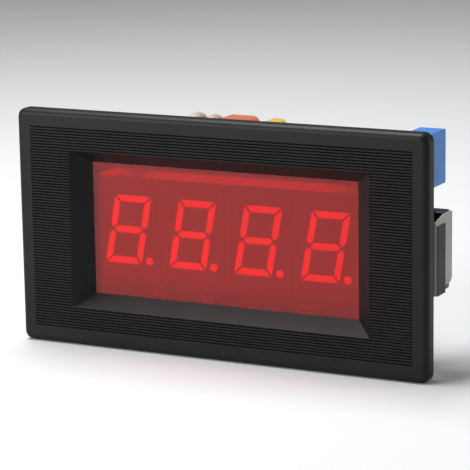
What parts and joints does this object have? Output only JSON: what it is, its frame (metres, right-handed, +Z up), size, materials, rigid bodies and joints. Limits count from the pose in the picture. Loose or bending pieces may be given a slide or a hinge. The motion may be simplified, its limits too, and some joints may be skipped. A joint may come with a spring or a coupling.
{
  "type": "digital panel meter",
  "caption": "Flush panel meter: ribbed black bezel, bevelled red window over seven-segment digits, circuit board behind, sliding side clips and a trimmer.",
  "frame": {"origin": "centre of the flange's rear face, which lies against the panel", "axes": "+X right as seen from the front, +Y from the front to the back, through the panel, +Z up"},
  "size_m": [0.0796, 0.0251, 0.0426],
  "materials": {
    "case_plastic": "fine satin black ABS",
    "red_filter": "polished transparent red acrylic",
    "module_face": "grey display face",
    "segment_resin": "milky diffusing epoxy, unlit",
    "tinned_lead": "tinned",
    "board_laminate": "green solder mask on glass-epoxy laminate",
    "screw_steel": "zinc plated",
    "clip_plastic": "satin black nylon",
    "clip_plate": "natural grey nylon",
    "pad_plastic": "ribbed satin black",
    "trimmer_blue": "moulded blue thermoset",
    "adjuster_brass": "turned",
    "chip_epoxy": "moulded black epoxy",
    "disc_ceramic": "dipped beige coating",
    "film_orange": "dipped orange epoxy",
    "bead_yellow": "dipped yellow epoxy",
    "can_sleeve": "shrunk dark blue sleeve on an aluminium can",
    "resistor_coat": "beige lacquer with colour bands",
    "header_plastic": "moulded black",
    "header_gold": "flash gold plated"
  },
  "bodies": {
    "meter": {"bezel": "case_plastic", "filter_window": "red_filter", "display_module_1": "module_face", "display_module_2": "module_face", "display_module_3": "module_face", "display_module_4": "module_face", "segments_1": "segment_resin", "segments_2": "segment_resin", "segments_3": "segment_resin", "segments_4": "segment_resin", "display_pins": "tinned_lead", "main_board": "board_laminate", "board_screws": "screw_steel", "trimmer_body": "trimmer_blue", "trimmer_pins": "tinned_lead", "converter_chip": "chip_epoxy", "converter_pins": "tinned_lead", "driver_chip": "chip_epoxy", "driver_pins": "tinned_lead", "disc_capacitor_1": "disc_ceramic", "disc_capacitor_2": "disc_ceramic", "disc_capacitor_leads": "tinned_lead", "film_capacitor": "film_orange", "film_capacitor_leads": "tinned_lead", "bead_capacitor": "bead_yellow", "bead_capacitor_leads": "tinned_lead", "electrolytic_can": "can_sleeve", "electrolytic_leads": "tinned_lead", "regulator": "chip_epoxy", "regulator_leads": "tinned_lead", "resistors": "resistor_coat", "resistor_leads": "tinned_lead", "header_strip": "header_plastic", "header_pins": "header_gold"},
    "clip_left": {"clip_left": "clip_plastic", "clip_plate_left": "clip_plate", "clip_pad_left": "pad_plastic"},
    "clip_right": {"clip_right": "clip_plastic", "clip_plate_right": "clip_plate", "clip_pad_right": "pad_plastic"},
    "adjuster": {"trimmer_screw": "adjuster_brass"}
  },
  "joints": [
    {"name": "clip_left_slide", "type": "slide", "parent": "meter", "child": "clip_left", "axis": [0, 1, 0], "range_m": [0, 0.0036]},
    {"name": "clip_right_slide", "type": "slide", "parent": "meter", "child": "clip_right", "axis": [0, 1, 0], "range_m": [0, 0.0036]},
    {"name": "adjuster_turn", "type": "hinge", "parent": "meter", "child": "adjuster", "pos_m": [0.03059, 0.0207, 0.0159], "axis": [0, 1, 0], "continuous": true}
  ]
}
